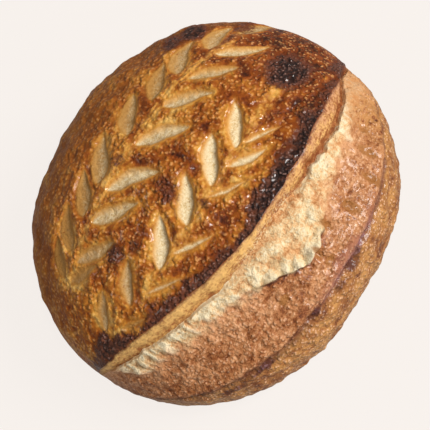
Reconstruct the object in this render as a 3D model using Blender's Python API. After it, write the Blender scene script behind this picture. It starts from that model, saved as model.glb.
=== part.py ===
"""A hearth-baked sourdough loaf, in metres, +Z up: one solid that rests on its flat base.

The loaf's long axis is X. A lifted flap of crust, the ear, runs from end to end on the
-Y side, above a torn belly. Two wheat stalks are scored in the crust on the +Y side.
"""

import math

import bmesh
import bpy
import numpy as np
from mathutils import Matrix, Vector, noise

# The ball of dough
LENGTH = 0.245
WIDTH = 0.215
WIDEST_AT = 0.031  # height of the widest line above the base
CROWN = 0.066  # rise of the dome above the widest line
KEEL = 0.047  # depth of the underside before the floor flattens it
BASE_BLEND = 0.006  # half the height over which the side turns into the flat base
PLAN_FULLNESS = 2.15  # superellipse exponent of the outline seen from above
SECTION_FULLNESS = 2.12  # superellipse exponent of a section across the loaf
UNEVENNESS = ((0.055, 0.0016), (0.022, 0.0006))  # size and height of the dents in the dough
BULGES = (  # where the plan swells or draws in from an even oval: x, y, reach, height
    (0.018, 0.097, 0.034, 0.0023),
    (0.089, 0.060, 0.022, 0.0026),
    (0.062, 0.082, 0.014, -0.0020),
    (-0.108, 0.044, 0.026, -0.0032),
    (-0.112, -0.030, 0.026, 0.0018),
    (0.060, -0.088, 0.032, 0.0024),
    (0.115, -0.030, 0.013, -0.0046),
)

# The ear: the rim of the flap follows two arcs in plan that meet at its turn
RIM_TURN_X = 0.011
RIM_TURN_Y = -0.048
RIM_RADIUS_HEAD = 0.29  # towards +X
RIM_RADIUS_TAIL = 0.178  # towards -X
RIM_SHARE = 0.75  # the rim stays within this share of the half width
EAR_LIFT = 0.0065
EAR_REACH = 0.020  # how far back the flap is bent up
EAR_FADE = (0.90, 1.00)  # shares of the half length over which the ear runs out
RELIEF_FADE = 0.35  # sine of the angle round the section above which the relief is full

# The tear below the rim: a smooth strip, the pale crumb, and the belly down to a fold
STRIP_WIDTH = 0.0102
STRIP_GAIN = 0.0016  # the strip is this much wider towards +X, and narrower towards -X
STRIP_WAISTS = (  # where the strip is narrower: x, reach towards -X and +X, by how much
    (0.011, 0.040, 0.016, 0.0050),
    (0.040, 0.011, 0.011, 0.0036),
    (0.106, 0.021, 0.021, 0.0088),
)
STRIP_LEAST = 0.0015
VALLEY_DEPTH = 0.0018  # of the groove at the strip's foot
VALLEY_RISE = 0.002  # width over which the crumb climbs out of the groove
VALLEY_FILLED = 0.8  # share of the groove that is filled at VALLEY_FILLED_AT
VALLEY_FILLED_AT = -0.004
VALLEY_FILLED_REACH = 0.028
CRUMB_WIDTH = 0.0215
CRUMB_SPREAD = 0.012  # the crumb is this much wider in its middle
CRUMB_SPREAD_REACH = 0.026
TEAR_NARROWS = 0.55  # share of the full girth below which the tear narrows
TEAR_LEAST = 0.1  # and the share of its width that it keeps at the very ends
CRUMB_RISE = 0.0015
LEDGE_DROP = 0.0030
LEDGE_RUN = 0.004
BELLY_SWELL = 0.0030
SWELL_AT = 0.012  # how far above the fold the belly swells most
FOLD_ANGLE = math.radians(154)
FOLD_DEPTH = 0.0020
FOLD_WIDTH = 0.0046

# The scored leaves. Each row: angle round the section, leaf angle from the stalk, leaf
# length, width and depth, how far the row curves away towards -X, then the leaves' places
# along X. All angles are in degrees.
STALK_ROWS = (
    (60, 35, 0.031, 0.0130, 0.0030, 3, (0.104, 0.087, 0.064, 0.042, 0.017, -0.015, -0.037, -0.059, -0.076)),
    (76, -44, 0.033, 0.0105, 0.0030, 6, (0.085, 0.062, 0.040, 0.014, -0.017, -0.038, -0.063, -0.077)),
    (93.4, 30, 0.030, 0.0102, 0.0032, 8, (0.039, 0.015, -0.011, -0.039, -0.067, -0.088)),
    (102, -34, 0.025, 0.0045, 0.0020, 3, (0.041, 0.027, 0.005, -0.031, -0.058, -0.083)),
)
CURVE_FROM = -0.045  # where the rows start to curve
CURVE_RUN = 0.05  # the distance in which a row curves by its own angle
CURVE_POWER = 1.5
LEAF_END_SHRINK = 0.24  # leaves at the loaf's ends are up to this share smaller
LEAF_THINS = 0.35  # share by which a leaf is thinner near its points
LEAST_GIRTH = 0.4  # leaves are laid out as on a section of at least this girth

CRUST_COLOUR = (0.42, 0.21, 0.08, 1)
CRUST_ROUGHNESS = 0.5

# Mesh density
RINGS = 46
BASE_COLUMNS = 8
SCORED_SIDE_COLUMNS = 5
CAP_COLUMNS = 23
STRIP_COLUMNS = 5
CRUMB_COLUMNS = 8
BELLY_COLUMNS = 7
UNDER_FOLD_COLUMNS = 10
BASE_START = math.radians(215)
BASE_END = math.radians(325)
CUTTER_RINGS = 8
CUTTER_SIDES = 6

HALF_LENGTH = LENGTH / 2
HALF_WIDTH = WIDTH / 2
TINY = 1e-6
NORMAL_STEP = 0.002  # the way taken along and round the ball to find its slope
NORMAL_WITHIN = 0.985  # share of the half length inside which the slope is taken
MOST_SHARE = 0.93  # the tear's lines stay within this share of the half width
LEAST_STRIP = math.radians(1.5)
LEAST_CRUMB = math.radians(3)
LEAST_BELLY = math.radians(6)


def signed_power(value, power):
    return math.copysign(abs(value) ** power, value)


def smooth(value):
    """0 below 0, 1 above 1, and an even S-curve between."""
    held = min(max(value, 0.0), 1.0)
    return held * held * (3 - 2 * held)


def bell(distance, reach):
    return math.exp(-((distance / reach) ** 2))


def girth(x):
    """The section's size at x, as a share of the section at the middle."""
    along = min(abs(x) / HALF_LENGTH, 1.0)
    return (1 - along**PLAN_FULLNESS) ** (1 / PLAN_FULLNESS)


def ball_point(x, angle):
    """The unflattened ball of dough: angle runs from the +Y side over the top to -Y."""
    size = girth(x)
    across = signed_power(math.cos(angle), 2 / SECTION_FULLNESS)
    up = signed_power(math.sin(angle), 2 / SECTION_FULLNESS)
    rise = CROWN if up > 0 else KEEL
    return Vector((x, HALF_WIDTH * size * across, WIDEST_AT + rise * size * up))


def ball_normal(x, angle):
    inner = max(min(x, HALF_LENGTH * NORMAL_WITHIN), -HALF_LENGTH * NORMAL_WITHIN)
    half = NORMAL_STEP / 2
    along = ball_point(inner + half, angle) - ball_point(inner - half, angle)
    round_it = ball_point(inner, angle + NORMAL_STEP) - ball_point(inner, angle - NORMAL_STEP)
    return round_it.cross(along).normalized() if round_it.length > TINY else Vector((0, 0, 1))


def rim_y(x):
    """The plan line of the flap's rim, which runs down into the loaf's ends."""
    beyond = x - RIM_TURN_X
    radius = RIM_RADIUS_HEAD if beyond > 0 else RIM_RADIUS_TAIL
    return max(RIM_TURN_Y + beyond * beyond / (2 * radius), -RIM_SHARE * HALF_WIDTH * girth(x))


def narrowing(x):
    """The tear closes towards the loaf's ends."""
    return min(max(girth(x) / TEAR_NARROWS, TEAR_LEAST), 1.0)


def strip_width(x):
    wide = STRIP_WIDTH + STRIP_GAIN * x / HALF_LENGTH
    for at, tail_reach, head_reach, less in STRIP_WAISTS:
        wide -= less * bell(x - at, head_reach if x > at else tail_reach)
    return narrowing(x) * max(wide, STRIP_LEAST)


def valley(x):
    """The groove's depth, which is almost nothing in the middle of the tear."""
    return VALLEY_DEPTH * (1 - VALLEY_FILLED * bell(x - VALLEY_FILLED_AT, VALLEY_FILLED_REACH))


def tear_width(x):
    """From the rim to the crumb's lower edge."""
    return narrowing(x) * (CRUMB_WIDTH + CRUMB_SPREAD * bell(x, CRUMB_SPREAD_REACH))


def angle_of(x, y):
    """The angle round the section at which the upper surface has this y."""
    share = y / max(HALF_WIDTH * girth(x), TINY)
    held = min(max(share, -MOST_SHARE), MOST_SHARE)
    return math.acos(signed_power(held, SECTION_FULLNESS / 2))


def section_stops(x):
    """The angles round the section at which the cap, strip, crumb, belly and base meet."""
    rim = angle_of(x, rim_y(x))
    foot = max(angle_of(x, rim_y(x) - strip_width(x)), rim + LEAST_STRIP)
    edge = max(angle_of(x, rim_y(x) - tear_width(x)), foot + LEAST_CRUMB)
    fold = max(FOLD_ANGLE, edge + LEAST_BELLY)
    return (0.0, rim, foot, edge, fold, BASE_START, BASE_END, math.tau)


def relief(x, y, angle):
    """How far the crust stands out from the ball of dough at a point."""
    share = abs(x) / HALF_LENGTH
    held = 1 - smooth((share - EAR_FADE[0]) / (EAR_FADE[1] - EAR_FADE[0]))
    held *= smooth(math.sin(angle) / RELIEF_FADE)
    below = rim_y(x) - y
    strip = strip_width(x)
    edge = tear_width(x)
    if below < 0:
        return held * EAR_LIFT * math.exp(below / EAR_REACH)
    height = EAR_LIFT * (1 - smooth(below / strip))
    height -= valley(x) * smooth(below / strip) * (1 - smooth((below - strip) / VALLEY_RISE))
    crumb = smooth((below - strip) / LEDGE_RUN) * (1 - smooth((below - edge) / LEDGE_RUN))
    height += CRUMB_RISE * crumb
    past_edge = smooth((below - edge) / LEDGE_RUN)
    to_fold = (FOLD_ANGLE - angle) * HALF_WIDTH
    height -= LEDGE_DROP * past_edge * smooth(to_fold / EAR_REACH)
    height += BELLY_SWELL * past_edge * smooth(to_fold / LEDGE_RUN) * bell(to_fold - SWELL_AT, SWELL_AT)
    height -= FOLD_DEPTH * bell(to_fold, FOLD_WIDTH)
    return held * height


def dents(point):
    total = 0.0
    for size, height in UNEVENNESS:
        total += height * noise.noise(point / size)
    for x, y, reach, height in BULGES:
        total += height * bell(math.hypot(point.x - x, point.y - y), reach)
    return total


def flattened(height):
    """The floor stops the underside: a parabola joins the side to the flat base."""
    if height > BASE_BLEND:
        return height
    if height < -BASE_BLEND:
        return 0.0
    return (height + BASE_BLEND) ** 2 / (4 * BASE_BLEND)


def crust_point(x, angle, outwards=0.0):
    """A point of the finished crust, or one a distance outside it."""
    ball = ball_point(x, angle)
    out = relief(x, ball.y, angle) + dents(ball) + outwards
    point = ball + ball_normal(x, angle) * out
    return Vector((point.x, point.y, flattened(point.z)))


def new_collection(name):
    made = bpy.data.collections.new(name)
    bpy.context.scene.collection.children.link(made)
    return made


def new_object(name, mesh_builder, collection):
    mesh = bpy.data.meshes.new(name)
    mesh_builder.to_mesh(mesh)
    mesh_builder.free()
    made = bpy.data.objects.new(name, mesh)
    collection.objects.link(made)
    return made


def crust_material():
    made = bpy.data.materials.new("browned_crust")
    made.use_nodes = True
    shader = made.node_tree.nodes["Principled BSDF"]
    shader.inputs["Base Color"].default_value = CRUST_COLOUR
    shader.inputs["Roughness"].default_value = CRUST_ROUGHNESS
    shader.inputs["Metallic"].default_value = 0.0
    return made


def column_numbers():
    """At which column of the sphere each of section_stops' angles falls."""
    spans = (
        CAP_COLUMNS,
        STRIP_COLUMNS,
        CRUMB_COLUMNS,
        BELLY_COLUMNS,
        UNDER_FOLD_COLUMNS,
        BASE_COLUMNS,
        SCORED_SIDE_COLUMNS,
    )
    return np.concatenate([[0], np.cumsum(spans)])


def add_loaf(collection):
    """A sphere with its poles at the loaf's ends, each ring shaped as one section."""
    columns = column_numbers()
    sides = int(columns[-1])
    ball = bmesh.new()
    bmesh.ops.create_uvsphere(ball, u_segments=sides, v_segments=RINGS, radius=1.0)
    bmesh.ops.rotate(ball, verts=ball.verts, matrix=Matrix.Rotation(math.pi / 2, 3, "Y"))
    for vertex in ball.verts:
        x = HALF_LENGTH * signed_power(vertex.co.x, 2 / PLAN_FULLNESS)
        turned = math.atan2(vertex.co.z, vertex.co.y) % math.tau
        column = turned / math.tau * sides
        angle = float(np.interp(column, columns, section_stops(x)))
        vertex.co = crust_point(x, angle)
    bmesh.ops.recalc_face_normals(ball, faces=ball.faces)
    return new_object("loaf", ball, collection)


def add_leaf_cutter(name, x, angle, slant, length, width, depth, collection):
    """A pointed lens laid along the crust: the lower half of it is the open score."""
    lens = bmesh.new()
    bmesh.ops.create_uvsphere(lens, u_segments=CUTTER_SIDES, v_segments=CUTTER_RINGS, radius=1.0)
    bmesh.ops.rotate(lens, verts=lens.verts, matrix=Matrix.Rotation(math.pi / 2, 3, "Y"))
    for vertex in lens.verts:
        point_in = 1 - LEAF_THINS * vertex.co.x**2
        along = vertex.co.x * length / 2
        across = vertex.co.y * point_in * width / 2
        leaf_x = x + along * math.cos(slant) - across * math.sin(slant)
        round_it = along * math.sin(slant) + across * math.cos(slant)
        leaf_angle = angle - round_it / (HALF_WIDTH * max(girth(leaf_x), LEAST_GIRTH))
        vertex.co = crust_point(leaf_x, leaf_angle, vertex.co.z * point_in * depth)
    bmesh.ops.recalc_face_normals(lens, faces=lens.faces)
    cutter = new_object(name, lens, collection)
    cutter.hide_render = True
    cutter.display_type = "WIRE"


def add_scores(collection):
    for row, (angle, slant, length, width, depth, curve, places) in enumerate(STALK_ROWS):
        for number, x in enumerate(places):
            size = 1 - LEAF_END_SHRINK * (abs(x) / HALF_LENGTH) ** 2
            turned = angle - curve * (max(CURVE_FROM - x, 0) / CURVE_RUN) ** CURVE_POWER
            add_leaf_cutter(
                f"score_{row}_{number}",
                x,
                math.radians(turned),
                math.radians(slant),
                length * size,
                width * size,
                depth,
                collection,
            )


def centre_on_base(loaf):
    """The origin is the middle of the base of the loaf's box."""
    corners = np.array([vertex.co for vertex in loaf.data.vertices])
    middle = (corners.min(axis=0) + corners.max(axis=0)) / 2
    shift = Matrix.Translation((-middle[0], -middle[1], 0))
    loaf.data.transform(shift)
    return shift


def main():
    for old in list(bpy.data.objects):
        bpy.data.objects.remove(old, do_unlink=True)
    parts = new_collection("sourdough_loaf")
    cutters = new_collection("cutters")
    loaf = add_loaf(parts)
    add_scores(cutters)
    shift = centre_on_base(loaf)
    for cutter in cutters.objects:
        cutter.data.transform(shift)
    scoring = loaf.modifiers.new("scoring", "BOOLEAN")
    scoring.operation = "DIFFERENCE"
    scoring.solver = "EXACT"
    scoring.operand_type = "COLLECTION"
    scoring.collection = cutters
    loaf.data.materials.append(crust_material())
    loaf.data.shade_smooth()


main()
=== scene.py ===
import math

import bpy
import numpy as np
from mathutils import Matrix, Vector, noise


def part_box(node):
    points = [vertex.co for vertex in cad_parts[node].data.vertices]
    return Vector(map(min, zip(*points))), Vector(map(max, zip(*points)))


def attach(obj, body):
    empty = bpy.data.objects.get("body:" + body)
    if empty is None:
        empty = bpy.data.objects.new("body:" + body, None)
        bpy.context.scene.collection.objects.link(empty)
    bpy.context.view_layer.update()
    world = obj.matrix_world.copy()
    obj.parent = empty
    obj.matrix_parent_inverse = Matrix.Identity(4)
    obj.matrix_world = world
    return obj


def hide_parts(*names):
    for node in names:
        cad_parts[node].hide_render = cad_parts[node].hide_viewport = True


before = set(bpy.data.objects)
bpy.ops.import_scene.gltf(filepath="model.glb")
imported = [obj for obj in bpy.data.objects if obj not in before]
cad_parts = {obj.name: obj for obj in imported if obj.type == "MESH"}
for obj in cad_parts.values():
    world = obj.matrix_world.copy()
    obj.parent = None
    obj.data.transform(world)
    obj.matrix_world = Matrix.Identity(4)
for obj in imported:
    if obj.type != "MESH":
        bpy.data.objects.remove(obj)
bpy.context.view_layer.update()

# ------------------------------------------------------------
# The ball of dough. A loaf of wheat dough, proved in a long basket and turned out on the
# hearth, so that it is round above and flat below. Every piece of crust follows this form:
# the long axis is X, and the angle round a section runs from the +Y side over the top.

LENGTH = 0.245
WIDTH = 0.215
WIDEST_AT = 0.031  # height of the widest line
CROWN = 0.066
KEEL = 0.047
BASE_BLEND = 0.006
PLAN_FULLNESS = 2.15
SECTION_FULLNESS = 2.12
DENTS = ((0.055, 0.0016), (0.022, 0.0006))  # size and height

# Where the plan swells or draws in from an even oval: x, y, reach, height
BULGES = (
    (0.018, 0.097, 0.034, 0.0023),
    (0.089, 0.060, 0.022, 0.0026),
    (0.062, 0.082, 0.014, -0.0020),
    (-0.108, 0.044, 0.026, -0.0032),
    (-0.112, -0.030, 0.026, 0.0018),
    (0.060, -0.088, 0.032, 0.0024),
    (0.115, -0.030, 0.013, -0.0046),
)
HALF_LENGTH = LENGTH / 2
HALF_WIDTH = WIDTH / 2
NORMAL_STEP = 0.002  # how far apart the points are that give the ball's normal
NORMAL_WITHIN = 0.985  # share of the length past which the normal stays the same
RELIEF_ENDS = 0.20  # share of its relief that the skin shows at the ends
RELIEF_MIDDLE = 0.36  # more by this at the middle
RELIEF_TOP = 0.30  # and by this on top
TINY = 1e-6


def signed_power(value, power):
    return np.sign(value) * np.abs(value) ** power


def smooth(value):
    """0 below 0, 1 above 1, and an even S-curve between."""
    held = np.clip(value, 0.0, 1.0)
    return held * held * (3 - 2 * held)


def bell(distance, reach):
    return np.exp(-((distance / reach) ** 2))


def girth(x):
    """The section's size at x, as a share of the section at the middle."""
    along = np.minimum(np.abs(x) / HALF_LENGTH, 1.0)
    return (1 - along**PLAN_FULLNESS) ** (1 / PLAN_FULLNESS)


def ball_point(x, angle):
    size = girth(x)
    across = signed_power(np.cos(angle), 2 / SECTION_FULLNESS)
    up = signed_power(np.sin(angle), 2 / SECTION_FULLNESS)
    rise = np.where(up > 0, CROWN, KEEL)
    y = HALF_WIDTH * size * across
    z = WIDEST_AT + rise * size * up
    return np.stack(np.broadcast_arrays(x, y, z), axis=-1)


def ball_normal(x, angle):
    inner = np.clip(x, -NORMAL_WITHIN * HALF_LENGTH, NORMAL_WITHIN * HALF_LENGTH)
    half = NORMAL_STEP / 2
    along = ball_point(inner + half, angle) - ball_point(inner - half, angle)
    round_it = ball_point(inner, angle + NORMAL_STEP) - ball_point(inner, angle - NORMAL_STEP)
    out = np.cross(round_it, along)
    return out / np.maximum(np.linalg.norm(out, axis=-1, keepdims=True), TINY**2)


def stretch(x, angle):
    """How much of its relief the skin shows: less low down and towards the loaf's ends."""
    return RELIEF_ENDS + girth(x) * (RELIEF_MIDDLE + RELIEF_TOP * np.maximum(np.sin(angle), 0))


def lumps(points, size, shift=0.0):
    """Soft noise from about -1 to 1 with lumps of a size, which may differ along each axis."""
    places = (points / np.asarray(size) + shift).reshape(-1, 3)
    return np.array([noise.noise(place) for place in places.tolist()]).reshape(points.shape[:-1])


def dents(points):
    even = sum(height * lumps(points, size) for size, height in DENTS)
    for x, y, reach, height in BULGES:
        even = even + height * bell(np.hypot(points[..., 0] - x, points[..., 1] - y), reach)
    return even


def flattened(z):
    """The hearth stops the underside: a parabola joins the side to the flat base."""
    blended = (z + BASE_BLEND) ** 2 / (4 * BASE_BLEND)
    return np.where(z > BASE_BLEND, z, np.where(z < -BASE_BLEND, 0.0, blended))


RINGS = 440
WALK_STEPS = 4001
WALK_RISE = 0.09  # how high the way over the back climbs


def ring_places():
    """Each ring's X: even steps of the way over the loaf's back from end to end."""
    turn = np.linspace(0, math.pi, WALK_STEPS)
    x = -HALF_LENGTH * signed_power(np.cos(turn), 2 / PLAN_FULLNESS)
    walk = np.concatenate([[0], np.cumsum(np.hypot(np.diff(x), WALK_RISE * np.diff(girth(x))))])
    return np.interp(np.linspace(0, walk[-1], RINGS + 2)[1:-1], walk, x)[:, None]


RING_X = ring_places()
SKIN = 0.008  # how thick each shell of crust is
MOST_SKIN = 0.3  # the thickest it may be, as a share of the section's half-width
TIP_FROM = 0.95  # a shell that reaches this share of the half-length ends at the tip
INNER_COLUMNS = 12
SHARP_FROM = math.radians(70)
MOST_FACES = 196000


def all_round(angle):
    """The same angle on every ring."""
    return np.full_like(RING_X, angle)


def placed(name, data):
    made = bpy.data.objects.new(name, data)
    bpy.context.scene.collection.objects.link(made)
    return made


def shell(name, x, angle, out, marks, skin=SKIN):
    """A closed shell of crust: its outer face at a height `out` over the ball of dough, and a
    plain inner face. x is one column, angle and out have a row for each ring. Marks are what
    the finish needs to know at each point of the outer face, by name."""
    ball = ball_point(x, angle)
    outer = ball + ball_normal(x, angle) * (out * stretch(x, angle))[..., None]
    turns = np.linspace(1, 0, INNER_COLUMNS)
    inner_angle = angle[:, :1] * (1 - turns) + angle[:, -1:] * turns
    deep = np.minimum(skin, MOST_SKIN * HALF_WIDTH * girth(x))
    inner = ball_point(x, inner_angle) - ball_normal(x, inner_angle) * deep[..., None]
    rows = np.concatenate([outer, inner], axis=1)
    rings, around = rows.shape[:2]
    ends = rows[[0, -1]].mean(axis=1)
    end_x = x[[0, -1], 0]
    ends[:, 0] = np.where(np.abs(end_x) > TIP_FROM * HALF_LENGTH, np.sign(end_x) * HALF_LENGTH, ends[:, 0])
    points = np.concatenate([rows.reshape(-1, 3), ends])
    points[:, 2] = flattened(points[:, 2])
    ring = np.arange(rings)[:, None] * around
    column = np.arange(around)
    after = (column + 1) % around
    corner = ring[:-1] + column
    corners = [corner, ring[:-1] + after, ring[1:] + after, ring[1:] + column]
    quads = np.stack(corners, axis=-1).reshape(-1, 4)
    first_end, last_end = rings * around, rings * around + 1
    fans = [(first_end, int(b), int(a)) for a, b in zip(column, after)]
    last = (rings - 1) * around
    fans += [(last_end, last + int(a), last + int(b)) for a, b in zip(column, after)]
    mesh = bpy.data.meshes.new(name)
    mesh.from_pydata(points.tolist(), [], quads.tolist() + fans)
    for mark, values in marks.items():
        full = np.zeros(len(points), dtype=np.float32)
        grid = full[: rings * around].reshape(rings, around)
        grid[:, : angle.shape[1]] = values
        full[-2], full[-1] = grid[0, 0], grid[-1, 0]
        mesh.attributes.new(mark, "FLOAT", "POINT").data.foreach_set("value", full)
    mesh.update()
    mesh.shade_smooth()
    mesh.set_sharp_from_angle(angle=SHARP_FROM)
    made = placed(name, mesh)
    faces = len(mesh.loops) - 2 * len(mesh.polygons)
    if faces > MOST_FACES:
        thin = made.modifiers.new("thin", "DECIMATE")
        thin.ratio = MOST_FACES / faces
        thinned = made.evaluated_get(bpy.context.evaluated_depsgraph_get())
        made.data = bpy.data.meshes.new_from_object(thinned)
        made.modifiers.clear()
        made.data.name = name
    return made


# ------------------------------------------------------------
# The ear and the tear: how the slash opened in the oven. A flap of the cap's crust lifted
# along a rim from end to end, and below it the dough tore into a smooth strip, the pale
# crumb, and the belly that swelled out over a fold.

RIM_TURN_X = 0.011
RIM_TURN_Y = -0.048
RIM_RADIUS_HEAD = 0.29
RIM_RADIUS_TAIL = 0.178
RIM_SHARE = 0.75
EAR_LIFT = 0.0065
EAR_REACH = 0.020
EAR_FADE = (0.90, 1.00)
RELIEF_FADE = 0.35  # the height, as a sine, below which the ear and the scores fade
STRIP_WIDTH = 0.0102
STRIP_GAIN = 0.0016  # wider by this at the +X end
STRIP_LEAST = 0.0015
VALLEY_DEPTH = 0.0018
VALLEY_FILLED = 0.8  # share of the valley that is missing in the middle of the tear
VALLEY_FILLED_AT = (-0.004, 0.028)  # x and reach
CRUMB_WIDTH = 0.0215
CRUMB_SPREAD = 0.012
CRUMB_SPREAD_REACH = 0.026
TEAR_NARROWS = 0.55
TEAR_LEAST = 0.1
CRUMB_RISE = 0.0015
LEDGE_DROP = 0.003
LEDGE_RUN = 0.004
BELLY_SWELL = 0.003
SWELL_AT = 0.012
FOLD_ANGLE = math.radians(154)
FOLD_DEPTH = 0.0020
FOLD_WIDTH = 0.0046
TEAR_CLOSES = (0.105, 0.119)  # distances from the middle between which the crumb closes
BASE_START = math.radians(215)
BASE_END = math.radians(-35)
MOST_SHARE = 0.93
LEAST_STRIP = math.radians(1.5)

# Where the strip narrows: x, reach towards -X, reach towards +X, how much narrower
STRIP_WAISTS = (
    (0.040, 0.011, 0.011, 0.0036),
    (0.106, 0.021, 0.021, 0.0088),
    (RIM_TURN_X, 0.040, 0.016, 0.0050),
)


def line_noise(x, size, shift):
    return lumps(np.stack([x, x * 0, x * 0], axis=-1), size, shift)


def rim_y(x):
    beyond = x - RIM_TURN_X + line_noise(x, 0.021, 55.0) * 0.004
    radius = np.where(beyond > 0, RIM_RADIUS_HEAD, RIM_RADIUS_TAIL)
    wave = line_noise(x, 0.017, 53.0) * 0.0012 + line_noise(x, 0.0060, 54.0) * 0.0005
    return np.maximum(RIM_TURN_Y + beyond * beyond / (2 * radius), -RIM_SHARE * HALF_WIDTH * girth(x)) + wave


def narrowing(x):
    return np.clip(girth(x) / TEAR_NARROWS, TEAR_LEAST, 1.0)


def strip_width(x):
    wide = STRIP_WIDTH + STRIP_GAIN * x / HALF_LENGTH
    for place, tail_reach, head_reach, less in STRIP_WAISTS:
        wide = wide - less * bell(x - place, np.where(x > place, head_reach, tail_reach))
    uneven = line_noise(x, 0.013, 51.0) * 0.0016 + line_noise(x, 0.0042, 52.0) * 0.0012
    return narrowing(x) * np.maximum(wide + uneven, STRIP_LEAST)


def valley(x):
    return VALLEY_DEPTH * (1 - VALLEY_FILLED * bell(x - VALLEY_FILLED_AT[0], VALLEY_FILLED_AT[1]))


def tear_open(x):
    return smooth((TEAR_CLOSES[1] - np.abs(x)) / (TEAR_CLOSES[1] - TEAR_CLOSES[0]))


def tear_width(x):
    """From the rim to the crumb's lower edge."""
    wide = narrowing(x) * (CRUMB_WIDTH + CRUMB_SPREAD * bell(x, CRUMB_SPREAD_REACH))
    return strip_width(x) + tear_open(x) * (wide - strip_width(x))


def angle_of(x, y):
    share = y / np.maximum(HALF_WIDTH * girth(x), TINY)
    return np.arccos(signed_power(np.clip(share, -MOST_SHARE, MOST_SHARE), SECTION_FULLNESS / 2))


def rim_angle(x):
    return angle_of(x, rim_y(x))


def foot_angle(x):
    return np.maximum(angle_of(x, rim_y(x) - strip_width(x)), rim_angle(x) + LEAST_STRIP)


def edge_angle(x):
    return foot_angle(x) + np.maximum(angle_of(x, rim_y(x) - tear_width(x)) - foot_angle(x), 0)


def held(x, angle):
    """Full relief on the upper side of the loaf, and none at its ends and below."""
    share = np.abs(x) / HALF_LENGTH
    along = 1 - smooth((share - EAR_FADE[0]) / (EAR_FADE[1] - EAR_FADE[0]))
    return along * smooth(np.sin(angle) / RELIEF_FADE)


def spread(stops, columns):
    """Angles round each ring: `stops` are the angles at the borders between groups of columns,
    one array for each border."""
    groups = []
    for start, end, count in zip(stops[:-1], stops[1:], columns):
        share = np.arange(count) / count
        groups.append(start * (1 - share) + end * share)
    return np.concatenate([*groups, stops[-1]], axis=1)


# ------------------------------------------------------------
# The cap: the crust over the top, from the base on the far side up to the rim of the ear and
# down the smooth strip under it. Steam blistered it and it baked glossy and dark, burnt
# along the rim, round the pale leaves of two wheat stalks that were scored before baking.

CAP_GROUPS = (30, 66, 250, 20, 6)  # columns: far side below, far side above, top, strip, tuck
CAP_LOW = math.radians(35)
FAR_WIDEST = math.radians(0)
TUCK = 0.0016

# The scored leaves. Each row: angle round the section, slant from the stalk, length, width,
# depth, where across the leaf it is deepest (-1 to 1), how pale it baked, how far the row
# curves away towards the -X end, then the leaves' places along X.
STALK_ROWS = (
    (60, 35, 0.031, 0.0138, 0.0017, -0.20, 0.25, 3,
     (0.107, 0.087, 0.064, 0.042, 0.017, -0.015, -0.037, -0.059, -0.076)),
    (76, -44, 0.033, 0.0110, 0.0024, 0.30, 0.72, 6,
     (0.085, 0.062, 0.040, 0.014, -0.017, -0.038, -0.063, -0.077)),
    (93.4, 30, 0.030, 0.0102, 0.0030, -0.40, 1.0, 8, (0.039, 0.015, -0.011, -0.039, -0.067, -0.088)),
    (102, -34, 0.025, 0.0044, 0.0014, 0.2, 0.9, 3, (0.041, 0.005, -0.031, -0.058, -0.083)),
    (102, -34, 0.025, 0.0066, 0.0018, 0.2, 0.95, 3, (0.026,)),
)
CURVE_FROM = -0.045
CURVE_RUN = 0.05
CURVE_POWER = 1.5
LEAF_END_SHRINK = 0.24
BROAD_LEAF = 0.0095
BROAD_ROUNDNESS = 0.62
SLIM_ROUNDNESS = 0.75
FAINT_FROM = -0.052  # past here, towards -X, the leaves are small, shallow and brown
FAINT_RUN = 0.034
WALL_RUN = 0.0022  # how far a score's wall slopes, in a leaf WALL_RUN_AT wide
WALL_RUN_AT = 0.0102
WALL_RUN_GAIN = 0.10
STALK_ANGLES = (math.radians(69), math.radians(98))
SHOULDER = 0.0042  # how far round a leaf the crust slopes down to it
SHOULDER_DROP = 0.0009
DRY_AND_SHADED_FROM = math.radians(72)  # below this on the far side the crust is drier, matt and plain, and browner: partly its own colour, partly painted shade
DRY_AND_SHADED_RUN = math.radians(36)

# The char along the rim: its width, and how much wider it is round one place and towards -X
CHAR_WIDTH = 0.0080
CHAR_WIDER = 0.0060
CHAR_WIDER_AT = 0.030
CHAR_WIDER_RUN = 0.050
CHAR_TAIL_WIDER = 0.0032

# Burnt places: x, y, radius, strength
SCORCHES = (
    (0.085, -0.012, 0.0133, 1.0),
    (0.104, -0.033, 0.0060, 0.75),
    (-0.011, 0.007, 0.0070, 0.50),
    (-0.014, 0.002, 0.0050, 0.55),
    (-0.058, 0.013, 0.0064, 0.55),
    (-0.048, 0.005, 0.0050, 0.45),
    (-0.011, 0.044, 0.0045, 0.40),
    (-0.009, -0.018, 0.0040, 0.45),
    (0.083, 0.058, 0.0085, 1.0),
    (0.071, 0.064, 0.0080, 0.8),
    (0.104, 0.034, 0.0070, 0.5),
    (-0.104, -0.004, 0.0072, 0.8),
    (-0.095, -0.013, 0.0050, 0.7),
)

BLISTERS = ((0.050, -0.034, 0.0090), (0.038, -0.040, 0.0070))  # large clear ones: x, y, radius
BLISTER_HEIGHT = 0.0012


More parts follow.
